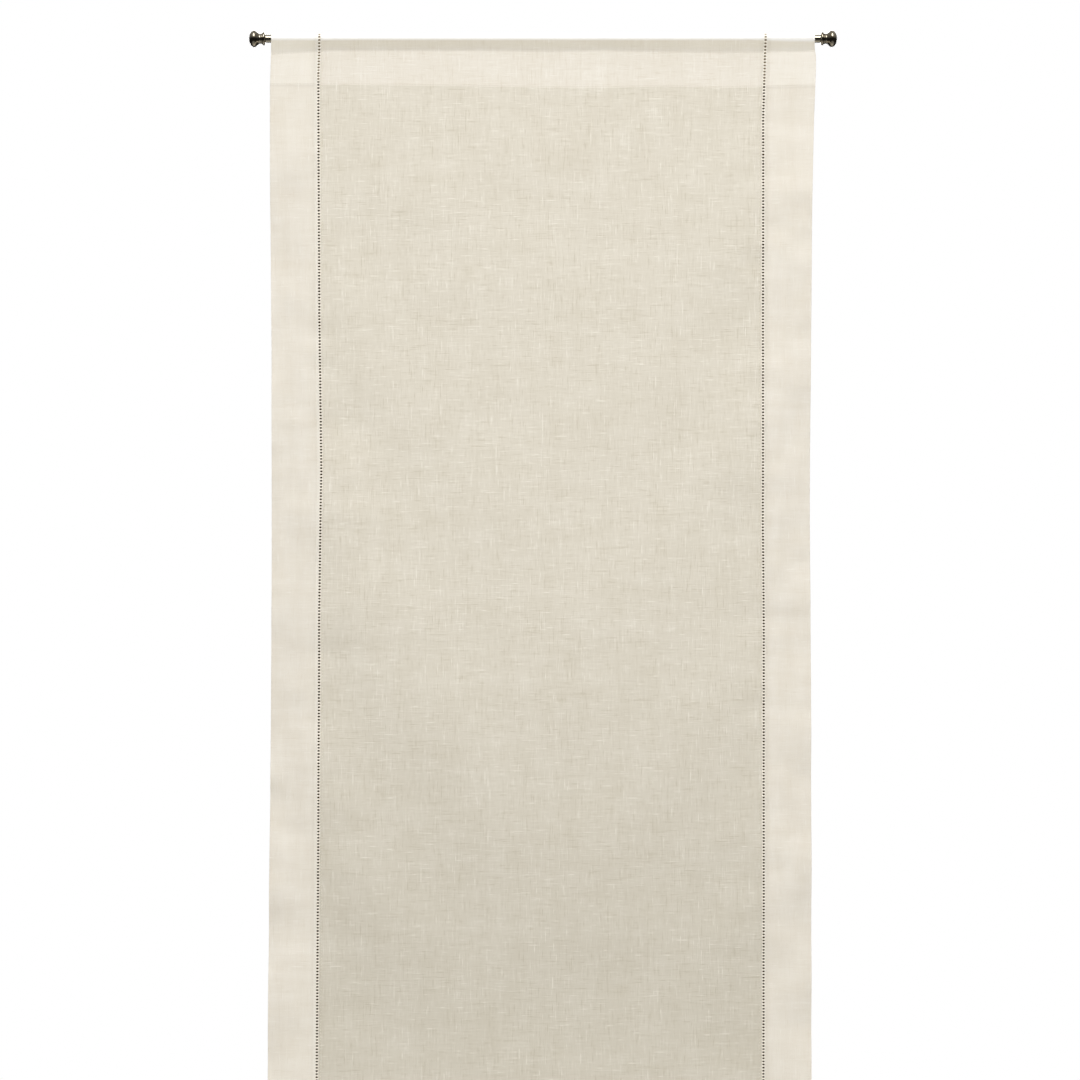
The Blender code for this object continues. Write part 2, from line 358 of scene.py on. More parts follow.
def waver(x, z):
    """The rise or fall of a point of the header, whose rows of stitching aren't quite level."""
    at_pocket = np.interp(z, WAVER_ENDS, (0, 0, 1, 0)) * smooth_line(x, POCKET_WAVER)
    return at_pocket + np.interp(z, WAVER_ENDS, (0, 1, 0, 0)) * smooth_line(x, SEAM_WAVER)


def swing(x, z):
    """The forward and backward wave of a point of the cloth."""
    free = settle_in(-z, -SEAM * 0.7, -SEAM * 3.5)
    on_border = settle_in(abs(x), 0.30, 0.46)
    broad = (CENTRE_WAVES + (BORDER_WAVES - CENTRE_WAVES) * on_border) * on_grid(wave, sheet_x, sheet_z, x, z)
    creases = 0.0010 * crease(x, z, 0.16, 0.09, 5) + 0.00045 * crease(x, z, 0.05, 0.035, 6)
    tight = 0.00012 * crease(x, z, 0.014, 0.03, 7)
    creases *= CENTRE_CREASES + (BORDER_CREASES - CENTRE_CREASES) * on_border
    return free * (broad + creases) + tight * settle_in(-z, 0.0, 0.02)


probe_x, probe_z = np.meshgrid(np.linspace(-HALF_WIDTH, HALF_WIDTH, 60), np.linspace(-0.1, FOOT, 120))
print(f"the cloth stands {abs(swing(probe_x, probe_z)).max() * 1000:.1f} mm out of true at most")

# %% [markdown]
# ## The line that the cloth follows
#
# Seen from the side, the cloth comes over the rod, leaves it at a tangent, meets its other half at the
# pocket's stitches and hangs plumb. At the foot it turns under and runs up behind itself. A point of cloth
# is therefore given by how far it lies across the panel, how far down this line, which half it is on, and
# how far it is lifted off the line, because a folded hem has a layer above the line and one below.

# %% The line in section
LINEN_THICK = 0.00045
OFF_MIDDLE = 0.0008  # from the plane between the two halves of the header to the middle of either
ROUND_ROD = ROD_RADIUS + 0.0012  # the cloth's middle, where it goes over the rod
FOOT_TURN = 0.0016  # radius of the fold at the foot
OVER_LIFT = 0.0003  # the upper layer of a side hem
UNDER_LIFT = -0.0005  # the layer folded behind it


def drop_line():
    """Length along, y, z and outward normal of the line from the ridge to the bottom hem's top edge."""
    reach = math.hypot(OFF_MIDDLE, POCKET_STITCH)
    leaves = math.atan2(POCKET_STITCH, OFF_MIDDLE) + math.acos(ROUND_ROD / reach)
    over = [(math.cos(a), math.sin(a)) for a in np.linspace(math.pi / 2, leaves, 60)]
    line = [(ROUND_ROD * y, ROUND_ROD * z, y, z) for y, z in over]
    line.append((OFF_MIDDLE, POCKET_STITCH + 1e-5, math.cos(leaves), math.sin(leaves)))
    line.append((OFF_MIDDLE, POCKET_STITCH - 1e-4, 1, 0))
    centre_y, centre_z = OFF_MIDDLE - FOOT_TURN, FOOT + FOOT_TURN + OVER_LIFT + LINEN_THICK / 2
    under = [(math.cos(a), math.sin(a)) for a in np.linspace(0, -math.pi, 25)]
    line += [(centre_y + FOOT_TURN * y, centre_z + FOOT_TURN * z, y, z) for y, z in under]
    line.append((centre_y - FOOT_TURN, FOOT + HEM_DEPTH, -1, 0))
    line = np.array(line)
    along = np.concatenate([[0], np.cumsum(np.linalg.norm(np.diff(line[:, :2], axis=0), axis=1))])
    return along, line


line_along, line_points = drop_line()
POCKET_AT = float(line_along[60])
SEAM_AT = POCKET_AT + POCKET_STITCH - SEAM
FOOT_AT = float(line_along[-14])
END_AT = float(line_along[-1])
print(f"from the ridge to the pocket's stitches {POCKET_AT:.4f} m, to the seam {SEAM_AT:.4f} m")
print(f"from the ridge to the fold at the foot {FOOT_AT:.3f} m")


def place(x, along, half, lift=0.0):
    """Where a point of the cloth hangs. half is -1 on the front and 1 behind the rod."""
    x, along, lift = np.broadcast_arrays(np.asarray(x, float), along, lift)
    y, z, out_y, out_z = (np.interp(along, line_along, column) for column in line_points.T)
    y, z = y + out_y * lift, z + out_z * lift
    return np.stack([x + stray(x, z), half * y + swing(x, z), z + waver(x, z)], -1)


# %% [markdown]
# ## From points to closed sheets
#
# Real cloth has two faces and an edge. Each sheet is built as a grid along its middle and then given its
# thickness, so that its mesh is a closed solid. The grid is fine where the cloth turns and coarse
# where it only hangs. A cut attribute keeps where each point lay on the flat cloth, and the weave follows it.

# %% Grids and closed sheets
STRETCHES = (
    (0, POCKET_AT, 0.0014),
    (POCKET_AT, SEAM_AT + 0.012, 0.004),
    (SEAM_AT + 0.012, FOOT_AT - 0.005, 0.009),
    (FOOT_AT - 0.005, FOOT_AT + 0.006, 0.0006),
    (FOOT_AT + 0.006, END_AT, 0.006),
)


def rows_between(start, end):
    """Lengths along the line from start to end, closest where the cloth bends most."""
    every = np.concatenate([np.linspace(a, b, math.ceil((b - a) / step) + 1) for a, b, step in STRETCHES])
    inside = every[(every > start + 1e-4) & (every < end - 1e-4)]
    return np.concatenate([[start], np.unique(np.round(inside, 6)), [end]])


def mesh_object(name, points, faces, cut=None):
    """A smooth-shaded mesh from arrays, with the flat cloth's coordinates kept in an attribute."""
    mesh = bpy.data.meshes.new(name)
    mesh.from_pydata(points.reshape(-1, 3).tolist(), [], faces)
    edit = bmesh.new()
    edit.from_mesh(mesh)
    bmesh.ops.recalc_face_normals(edit, faces=edit.faces)
    edit.to_mesh(mesh)
    edit.free()
    mesh.shade_smooth()
    if cut is not None:
        kept = mesh.attributes.new("cut", "FLOAT_VECTOR", "POINT")
        kept.data.foreach_set("vector", cut.astype(np.float32).ravel())
    made = bpy.data.objects.new(name, mesh)
    scene.collection.objects.link(made)
    return made


def closed_sheet(name, middle, thickness, cut):
    """Gives the grid of a sheet's middle surface a thickness and an edge all round."""
    count_down, count_across = middle.shape[:2]
    normal = np.cross(np.gradient(middle, axis=0), np.gradient(middle, axis=1))
    normal *= thickness / 2 / np.linalg.norm(normal, axis=-1, keepdims=True)
    index = np.arange(count_down * count_across).reshape(count_down, count_across)
    other = index + index.size
    a, b, c, d = index[:-1, :-1], index[1:, :-1], index[1:, 1:], index[:-1, 1:]
    front = np.stack([a, b, c, d], -1).reshape(-1, 4)
    back = front[:, ::-1] + index.size
    edge = np.concatenate([index[0, :-1], index[:-1, -1], index[-1, :0:-1], index[:0:-1, 0]])
    far = np.concatenate([other[0, :-1], other[:-1, -1], other[-1, :0:-1], other[:0:-1, 0]])
    rim = np.stack([edge, np.roll(edge, -1), np.roll(far, -1), far], -1)
    points = np.concatenate([(middle + normal).reshape(-1, 3), (middle - normal).reshape(-1, 3)])
    flat = np.concatenate([cut.reshape(-1, 3), cut.reshape(-1, 3)])
    made = mesh_object(name, points, np.concatenate([front, back, rim]).tolist(), flat)
    made.data.set_sharp_from_angle(angle=math.radians(50))
    return made


def cloth_sheet(name, across, lift, start, end, half):
    """A sheet between two lengths along the line, over points given by across and lift."""
    along = rows_between(start, end)[:, None]
    middle = place(across[None, :], along, half, lift[None, :])
    travelled = np.concatenate([[0], np.cumsum(np.hypot(np.diff(across), np.diff(lift)))]) + across[0]
    cut = np.stack(np.broadcast_arrays(travelled[None, :], 0.0, along * -half), -1)
    return closed_sheet(name, middle, LINEN_THICK, cut)


# %% [markdown]
# ## The centre cloth
#
# The centre is a single layer from the header's seam down, which is why it looks a little darker and
# sheerer than what surrounds it. It runs up the front and over the rod. Behind the rod it comes down again
# as the header's turnback, and at the foot it turns up as the bottom hem. These are made as three sheets
# that share their edges, at the ridge and at the fold, where no eye can see between them.

# %% Centre cloth, its turnback and its bottom hem
INNER = LADDER_AT - LADDER_HALF
OUTER = LADDER_AT + LADDER_HALF
centre_across = np.linspace(-INNER, INNER, 108)
level = np.zeros_like(centre_across)
centre_cloth = cloth_sheet("centre_cloth", centre_across, level, 0, FOOT_AT, -1)
centre_turnback = cloth_sheet("centre_turnback", centre_across, level, 0, SEAM_AT, 1)
centre_bottom_hem = cloth_sheet("centre_bottom_hem", centre_across, level, FOOT_AT, END_AT, -1)
print("centre cloth:", len(centre_cloth.data.polygons), "faces")

# %% [markdown]
# ## The folded side hems
#
# Each border is the panel's own edge folded back once and caught by the hemstitching. So it is one sheet
# that goes out along the front, turns in a tight round fold, and comes back behind as far as the ladder.

# %% Side hems
PAST_LADDER = 0.006  # how far the folded layer reaches past the stitches that catch it


def side_hem_section(side):
    """Places across the panel and lifts of a folded side hem, from the ladder out and back again."""
    turn = (OVER_LIFT - UNDER_LIFT) / 2
    fold = HALF_WIDTH - turn - LINEN_THICK / 2
    angles = np.linspace(math.pi / 2, -math.pi / 2, 9)[1:-1]
    out, back = np.linspace(OUTER, fold, 18), np.linspace(fold, INNER - PAST_LADDER, 20)
    across = np.concatenate([out, fold + turn * np.cos(angles), back])
    between = (OVER_LIFT + UNDER_LIFT) / 2 + turn * np.sin(angles)
    lift = np.concatenate([np.full_like(out, OVER_LIFT), between, np.full_like(back, UNDER_LIFT)])
    return side * across, lift


side_hems = {}
for word, side in (("left", -1), ("right", 1)):
    across, lift = side_hem_section(side)
    side_hems[word] = (
        cloth_sheet(f"{word}_side_hem", across, lift, 0, FOOT_AT, -1),
        cloth_sheet(f"{word}_side_turnback", across, lift, 0, SEAM_AT, 1),
        cloth_sheet(f"{word}_side_bottom_hem", across, lift, FOOT_AT, END_AT, -1),
    )
print("side hem:", len(side_hems["left"][0].data.polygons), "faces")

# %% [markdown]
# ## The hemstitching
#
# Threads are drawn out along each border, and the ones that cross the gap are gathered into small bundles.
# What is left is a ladder of some 380 rungs with an oval hole between each pair. One bundle is modelled and
# then repeated down the cloth by arithmetic, with each copy a little different, as hand-fed machines
# leave them. On both sides a zigzag of thread holds the edges, and a narrow dark strip behind is painted
# shade.

# %% Many small copies laid on the cloth
RUNG_PITCH = 0.0061
RUNG_THICK = 0.00028  # half of a bundle's thickness, and its height above the cloth's middle
HOLE_HALF = 0.0016  # half of a hole's height at its middle
UNDER_EDGE = 0.0004  # how far a rung runs on under the cloth's edge
chance = np.random.default_rng(11)


def ring_faces(rings, around, first=0):
    """Faces of a tube of rings, with both ends closed."""
    sides = [
        (first + r * around + k, first + r * around + (k + 1) % around,
         first + (r + 1) * around + (k + 1) % around, first + (r + 1) * around + k)
        for r in range(rings - 1) for k in range(around)
    ]
    start = tuple(first + k for k in range(around))[::-1]
    end = tuple(first + (rings - 1) * around + k for k in range(around))
    return sides + [start, end]


def copies(name, template, faces, centres, half):
    """Lays copies of a small shape on the cloth. template holds (across, along, lift) offsets in metres,
    and centres holds (across, along, lift, size across, size along) for each copy."""
    across = centres[:, None, 0] + template[None, :, 0] * centres[:, None, 3]
    along = centres[:, None, 1] + template[None, :, 1] * centres[:, None, 4]
    lift = centres[:, None, 2] + template[None, :, 2]
    points = place(across, np.abs(along), np.broadcast_to(np.asarray(half)[:, None], across.shape), lift)
    cut = np.stack([across, lift * 400, along], -1)
    starts = range(0, len(centres) * len(template), len(template))
    every = [tuple(start + corner for corner in face) for start in starts for face in faces]
    return mesh_object(name, points, every, cut.reshape(-1, 3))


def rung_template():
    """One bundle of threads across the gap: wide where it leaves the cloth, and waisted in between."""
    around, stations = 8, np.array([-1.0, -0.9, -0.64, -0.25, 0.25, 0.64, 0.9, 1.0])
    angles = np.arange(around) * 2 * math.pi / around
    points = []
    for t in stations:
        tall = RUNG_PITCH / 2 - HOLE_HALF * math.sqrt(max(0.0, 1 - t * t)) - 0.00004
        across = t * (LADDER_HALF + UNDER_EDGE)
        thick = RUNG_THICK * (1.15 - 0.35 * t * t)
        points += [(across, tall * math.cos(a), thick * math.sin(a)) for a in angles]
    return np.array(points), ring_faces(len(stations), around)


def ladder_runs():
    """Places of the rungs along the line, as (along, half): down the front, under the foot and behind."""
    front = np.arange(RUNG_PITCH / 2, END_AT - RUNG_PITCH / 2, RUNG_PITCH)
    behind = np.arange(RUNG_PITCH / 2, SEAM_AT - RUNG_PITCH / 2, RUNG_PITCH)
    return np.concatenate([front, behind]), np.concatenate([-np.ones(len(front)), np.ones(len(behind))])


def build_rungs(word, side):
    template, faces = rung_template()
    along, half = ladder_runs()
    count = len(along)
    centres = np.stack([
        np.full(count, side * LADDER_AT) + chance.normal(0, 0.00012, count),
        along + chance.normal(0, 0.00010, count),
        np.full(count, RUNG_THICK),
        1 + chance.normal(0, 0.03, count),
        1 - np.abs(chance.normal(0, 0.045, count)),
    ], -1)
    return copies(f"{word}_ladder_rungs", template, faces, centres, half)


rungs = {word: build_rungs(word, side) for word, side in (("left", -1), ("right", 1))}
print("rungs on each side:", len(ladder_runs()[0]))


# %% Zigzag stitches beside the ladder
THREAD_RADIUS = 0.00024
BESIDE_LADDER = 0.0003
ZIGZAGS = ((1, 0.0078, OVER_LIFT), (-1, 0.0056, 0.0))  # towards the edge or the middle, reach, and lift


def thread_tube(name, runs):
    """Closed tubes of thread along runs of (across, along, lift, half) points that lie on the cloth."""
    points, faces, flat, around = [], [], [], 6
    turn = np.arange(around) * 2 * math.pi / around
    for across, along, lift, half in runs:
        step = np.stack([np.gradient(across), np.gradient(along)], -1)
        step /= np.linalg.norm(step, axis=-1, keepdims=True)
        out_across = across[:, None] - step[:, 1:] * THREAD_RADIUS * np.cos(turn)
        out_along = along[:, None] + step[:, :1] * THREAD_RADIUS * np.cos(turn)
        out_lift = lift[:, None] + THREAD_RADIUS * np.sin(turn)[None, :]
        faces += ring_faces(len(across), around, sum(len(p) for p in points))
        points.append(place(out_across, np.abs(out_along), half, out_lift).reshape(-1, 3))
        flat.append(np.stack([out_across, out_lift * 400, out_along], -1).reshape(-1, 3))
    return mesh_object(name, np.concatenate(points), faces, np.concatenate(flat))


def zigzag(side, half, end):
    """Two zigzags down one half of the cloth, one on the border and one on the centre cloth."""
    corners = np.arange(0.002, end - 0.002, RUNG_PITCH / 2)
    out_and_in = (np.arange(len(corners)) % 2) * 1.0
    wobble = chance.normal(0, 0.00018, len(corners))
    for direction, reach, lift in ZIGZAGS:
        across = LADDER_AT + direction * (LADDER_HALF + BESIDE_LADDER + reach * out_and_in + wobble)
        on_top = lift + LINEN_THICK / 2 + THREAD_RADIUS * 0.8
        yield side * across, corners, np.full(len(corners), on_top), half


zigzags = {
    word: thread_tube(f"{word}_zigzag", [*zigzag(side, -1, END_AT), *zigzag(side, 1, SEAM_AT)])
    for word, side in (("left", -1), ("right", 1))
}
print("zigzag faces:", len(zigzags["left"].data.polygons))


# %% Painted shade strips behind the ladders
SHADE_STRIP_THICK = 0.00012


# A dark strip behind each ladder, painted shade for the holes to show
def stay_tape(word, side):
    across = side * np.array([INNER + 0.0001, LADDER_AT, OUTER + 0.0008])
    lift = np.full(3, -0.0001)
    sheets = []
    for start, end, half in ((0, END_AT, -1), (0, SEAM_AT, 1)):
        along = rows_between(start, end)[:, None]
        middle = place(across[None, :], along, half, lift[None, :])
        cut = np.stack(np.broadcast_arrays(across[None, :], 0.0, along), -1)
        name = f"{word}_stay_tape" + ("" if half < 0 else "_back")
        sheets.append(closed_sheet(name, middle, SHADE_STRIP_THICK, cut))
    return sheets


shade_strips = {word: stay_tape(word, side) for word, side in (("left", -1), ("right", 1))}
print("stay tapes:", [strip.name for pair in shade_strips.values() for strip in pair])

# %% [markdown]
# ## Rows of machine stitches
#
# Three straight rows hold the panel together: under the rod, at the header's seam and at the bottom hem.
# A lockstitch shows as a short raised dash on both faces of the cloth. Each dash is a small swelling of
# thread that dips at both ends, so it is modelled once and copied across.

# %% Stitch rows
STITCH_PITCH = 0.0032
DASH_HALF = 0.00135
DASH_WIDE, DASH_TALL = 0.00022, 0.00017


def dash_template():
    """One dash of thread, from its place along, relative size and rise at five stations."""
    around, angles = 6, np.arange(6) * math.pi / 3
    end, shoulder = (0.35, -0.00016), (0.9, -0.00003)
    shape = ((-1.0, *end), (-0.72, *shoulder), (0, 1.0, 0.00004), (0.72, *shoulder), (1.0, *end))
    points = [
        (t * DASH_HALF, DASH_WIDE * size * math.cos(a), rise + DASH_TALL * size * math.sin(a))
        for t, size, rise in shape for a in angles
    ]
    return np.array(points), ring_faces(len(shape), around)


def stitch_row(name, rows):
    """Dashes across the whole panel on each (along, half) of rows."""
    template, faces = dash_template()
    across = np.arange(-HALF_WIDTH + 0.003, HALF_WIDTH - 0.003, STITCH_PITCH)
    across = across[np.abs(np.abs(across) - LADDER_AT) > LADDER_HALF + 0.001]
    on_border = np.abs(across) > LADDER_AT
    centres, halves = [], []
    for along, half in rows:
        count = len(across)
        centres.append(np.stack([
            across + chance.normal(0, 0.00008, count),
            np.full(count, along) + chance.normal(0, 0.00009, count),
            np.where(on_border, OVER_LIFT, 0.0) + LINEN_THICK / 2 + 0.00010,
            1 + chance.normal(0, 0.05, count),
            np.ones(count),
        ], -1))
        halves.append(np.full(count, half))
    return copies(name, template, faces, np.concatenate(centres), np.concatenate(halves))


pocket_stitches = stitch_row("pocket_stitches", [(POCKET_AT + ROW_INSIDE, -1), (POCKET_AT + ROW_INSIDE, 1)])
header_stitches = stitch_row("header_stitches", [(SEAM_AT - 0.0021, -1), (SEAM_AT - 0.0021, 1)])
hem_top_on_front = FOOT_AT - HEM_DEPTH + 0.0012
bottom_stitches = stitch_row("bottom_hem_stitches", [(hem_top_on_front, -1), (END_AT - ROW_INSIDE, -1)])
print("dashes in a row:", len(pocket_stitches.data.vertices) // (2 * len(dash_template()[0])))

# %% [markdown]
# ## Rod and finials
#
# The rod is a drawn tube. Each finial is turned: a collar with a rounded rim, a waist, and a mushroom knob.
# A threaded stud joins them to a plug in the tube's end. All are solids of revolution, so each is one
# outline swept round the rod's axis, with its corners eased as a lathe tool leaves them.


# %% Turning
def turned(name, outline, side=1, sides=96):
    """A closed outline of (x, radius) points swept round the rod's axis. Radius 0 is a pole."""
    angles = np.arange(sides) * 2 * math.pi / sides
    points, starts = [], []
    for along, radius in outline:
        starts.append(len(points))
        points += [(side * along, 0, 0)] if radius == 0 else [
            (side * along, radius * math.cos(a), radius * math.sin(a)) for a in angles]
    faces = []
    rings = [(start, radius > 0) for start, (_, radius) in zip(starts, outline)]
    for (a, a_is_ring), (b, b_is_ring) in zip(rings, rings[1:] + rings[:1]):
        for k in range(sides):
            n = (k + 1) % sides
            corners = [a + k * a_is_ring, a + n * a_is_ring, b + n * b_is_ring, b + k * b_is_ring]
            face = list(dict.fromkeys(corners))
            if len(face) > 2:
                faces.append(face)
    made = mesh_object(name, np.array(points), faces)
    made.data.set_sharp_from_angle(angle=math.radians(35))
    return made


def eased(*stops, steps=14):
    """Outline points that swell smoothly through (x, radius) stops."""
    points = [stops[0]]
    for (a, r), (b, s) in zip(stops, stops[1:]):
        points += [(a + (b - a) * t, r + (s - r) * (1 - math.cos(math.pi * t)) / 2)
                   for t in np.linspace(0, 1, steps + 1)[1:]]
    return points


# %% Tube, plugs, collars, knobs and studs
TURNED_SIDES = 40  # the frame's finials have flat sides as well
TRUE = math.cos(math.pi / TURNED_SIDES)
COLLAR_AT, COLLAR_END = low("finial_collar_right").x, high("finial_collar_right").x
KNOB_AT, KNOB_END = low("finial_knob_right").x, high("finial_knob_right").x
COLLAR_RADIUS = high("finial_collar_right").z / TRUE
KNOB_RADIUS = high("finial_knob_right").z / TRUE
PLUG_END = high("rod_tube").x
TUBE_INSIDE = ROD_RADIUS - 0.0009
PLUG_RADIUS = TUBE_INSIDE - 0.0003
BORE = 0.0033
STUD_RADIUS = 0.003
EASE = 0.0003  # the broken edge of a turned corner
BEAD_BY_ROD, BEAD_BY_KNOB = 0.0086, 0.0108  # radii that the collar's rounded rim springs from
KNOB_FOOT, KNOB_WAIST = 0.0108, 0.0096
WAIST_AT = KNOB_AT + 0.0036
WIDEST_AT = KNOB_END - 0.0104
HOLE_END = KNOB_AT + 0.0098  # the knob's blind hole, for the stud
TOUCH = 0.00002  # the frame keeps 0.3 mm between parts that move, but the real faces meet
ROD_END = COLLAR_AT - TOUCH

tube = turned("rod", [
    (-ROD_END, ROD_RADIUS - EASE), (-ROD_END + EASE, ROD_RADIUS), (ROD_END - EASE, ROD_RADIUS),
    (ROD_END, ROD_RADIUS - EASE), (ROD_END, TUBE_INSIDE), (-ROD_END, TUBE_INSIDE)])


def finial(word, side):
    """Collar, knob, stud and plug of one end, in that order."""
    middle = (COLLAR_AT + COLLAR_END) / 2
    half = (COLLAR_END - COLLAR_AT) / 2 - EASE
    bead = []
    for a in np.linspace(-math.pi / 2, math.pi / 2, 36):
        edge = BEAD_BY_ROD if a < 0 else BEAD_BY_KNOB
        bead.append((middle + half * math.sin(a), edge + (COLLAR_RADIUS - edge) * math.cos(a)))
    collar = turned(f"{word}_collar", [
        (COLLAR_AT, BORE), (COLLAR_AT, BEAD_BY_ROD - EASE), *bead,
        (COLLAR_END, BEAD_BY_KNOB - EASE), (COLLAR_END, BORE)], side)
    foot = COLLAR_END + TOUCH
    rounded = [(WIDEST_AT + (KNOB_END - WIDEST_AT) * math.sin(a), KNOB_RADIUS * math.cos(a))
               for a in np.linspace(0, math.pi / 2, 30)[1:-1]]
    knob = turned(f"{word}_knob", [
        (HOLE_END, 0), (HOLE_END, BORE), (foot, BORE), (foot, KNOB_FOOT - EASE),
        *eased((foot + EASE, KNOB_FOOT), (WAIST_AT, KNOB_WAIST), (WIDEST_AT, KNOB_RADIUS)),
        *rounded, (KNOB_END, 0)], side)
    thread = threaded(low("finial_stud_right").x, high("finial_stud_right").x)
    stud = turned(f"{word}_stud", thread, side, 48)
    plug_at = low("rod_plug_right").x
    plug = turned(f"{word}_plug", [
        (plug_at, BORE), (plug_at, PLUG_RADIUS), (PLUG_END, PLUG_RADIUS), (PLUG_END, BORE)], side, 64)
    return collar, knob, stud, plug


def threaded(start, end, pitch=0.001):
    """A stud's outline with a groove at every pitch."""
    outline = [(start, 0), (start, STUD_RADIUS - 0.0006)]
    grooves = int((end - start - 0.001) / pitch)
    for k in range(grooves):
        at = start + 0.0005 + k * pitch
        crest = [(at + pitch * share, STUD_RADIUS) for share in (0.45, 0.55)]
        outline += [(at, STUD_RADIUS - 0.0005), *crest]
    return outline + [(end, STUD_RADIUS - 0.0006), (end, 0)]


finials = {word: finial(word, side) for word, side in (("left", -1), ("right", 1))}
print(f"finial {1000 * (KNOB_END - COLLAR_AT):.1f} mm long, knob {2000 * KNOB_RADIUS:.1f} mm across")

# %% [markdown]
# ## Shader nodes
#
# Every finish is built from Blender's own noise and wave nodes. A few short helpers place and join nodes,
# so that a finish reads as a recipe. What two finishes share is a node group, built once: the woven linen,
# the twist of a thread, and the patina of old metal. A group gives out only masks and heights, and each
# material turns them into its own colours and bumps.


# %% Node helpers
def put(tree, socket, value):
    """Joins an output to a socket, or sets the socket's own value."""
    if isinstance(value, bpy.types.NodeSocket):
        tree.links.new(value, socket)
    else:
        socket.default_value = value


def operation(name):
    """A function that adds one Math node to a tree and returns what it works out."""

    def worked_out(tree, *values, clamp=False):
        node = tree.nodes.new("ShaderNodeMath")
        node.operation, node.use_clamp = name, clamp
        for socket, value in zip(node.inputs, values):
            put(tree, socket, value)
        return node.outputs[0]

    return worked_out


plus, minus, times, per = map(operation, ("ADD", "SUBTRACT", "MULTIPLY", "DIVIDE"))
absolute, sine, whole, larger = map(operation, ("ABSOLUTE", "SINE", "FLOOR", "MAXIMUM"))
to_and_fro, less_than = map(operation, ("PINGPONG", "LESS_THAN"))


def spread(tree, value, start, end, low_value=0.0, high_value=1.0):
    """Takes value from start to end smoothly to low_value to high_value."""
    node = tree.nodes.new("ShaderNodeMapRange")
    node.interpolation_type = "SMOOTHSTEP"
    sockets = ("Value", "From Min", "From Max", "To Min", "To Max")
    for name, given in zip(sockets, (value, start, end, low_value, high_value)):
        put(tree, node.inputs[name], given)
    return node.outputs[0]


def axes(tree, vector):
    """The x, y and z of a vector."""
    node = tree.nodes.new("ShaderNodeSeparateXYZ")
    put(tree, node.inputs[0], vector)
    return tuple(node.outputs)


def joined(tree, *values):
    """A vector of an x, a y and a z."""
    node = tree.nodes.new("ShaderNodeCombineXYZ")
    for socket, value in zip(node.inputs, values):
        put(tree, socket, value)
    return node.outputs[0]


def divided(tree, vector, sizes):
    node = tree.nodes.new("ShaderNodeVectorMath")
    node.operation = "DIVIDE"
    put(tree, node.inputs[0], vector)
    put(tree, node.inputs[1], sizes)
    return node.outputs[0]


def noise(tree, vector, sizes, detail=2.0, roughness=0.5):
    """Noise whose cells measure sizes, in metres."""
    node = tree.nodes.new("ShaderNodeTexNoise")
    put(tree, node.inputs["Vector"], divided(tree, vector, sizes))
    node.inputs["Scale"].default_value = 1.0
    node.inputs["Detail"].default_value = detail
    node.inputs["Roughness"].default_value = roughness
    return node.outputs["Fac"]


def blended(tree, share, first, second, kind="MIX"):
    node = tree.nodes.new("ShaderNodeMix")
    node.data_type, node.blend_type = "RGBA", kind
    put(tree, node.inputs["Factor"], share)
    put(tree, node.inputs[6], first)
    put(tree, node.inputs[7], second)
    return node.outputs[2]


def attribute(tree, name):
    node = tree.nodes.new("ShaderNodeAttribute")
    node.attribute_name = name
    return node.outputs["Vector"]


def bumped(tree, height, strength, distance, normal=None):
    node = tree.nodes.new("ShaderNodeBump")
    put(tree, node.inputs["Height"], height)
    node.inputs["Strength"].default_value = strength
    node.inputs["Distance"].default_value = distance
    if normal is not None:
        put(tree, node.inputs["Normal"], normal)
    return node.outputs[0]


def new_group(name, inputs, outputs):
    """A node group with float inputs at their defaults and float outputs, and its two end nodes."""
    group = bpy.data.node_groups.new(name, "ShaderNodeTree")
    for socket, value in inputs.items():
        made = group.interface.new_socket(socket, in_out="INPUT", socket_type="NodeSocketFloat")
        made.default_value = value
    for socket in outputs:
        group.interface.new_socket(socket, in_out="OUTPUT", socket_type="NodeSocketFloat")
    return group, group.nodes.new("NodeGroupInput").outputs, group.nodes.new("NodeGroupOutput").inputs


def placed(tree, group, **values):
    """Puts a group in a material and returns its outputs."""
    node = tree.nodes.new("ShaderNodeGroup")
    node.node_tree = group
    for name, value in values.items():
        put(tree, node.inputs[name.replace("_", " ").capitalize()], value)
    return node.outputs


def new_finish(name, roughness=0.5, metallic=0.0):
    """A material, its tree and its Principled shader."""
    made = bpy.data.materials.new(name)
    made.use_nodes = True
    shader = made.node_tree.nodes["Principled BSDF"]
    shader.inputs["Roughness"].default_value = roughness
    shader.inputs["Metallic"].default_value = metallic
    return made, made.node_tree, shader


# %% [markdown]
# ## Linen
#
# Linen yarn is uneven. Each thread swells here and there into a slub, so plain linen shows short pale
# streaks along both its directions, over a soft cloudiness where the weave is closer or more open. The
# group works from the flat cloth's own coordinates, so the weave bends with the cloth. Its thread height
# is a plain weave: two sets of rounded threads, with the upper one changing at every crossing.


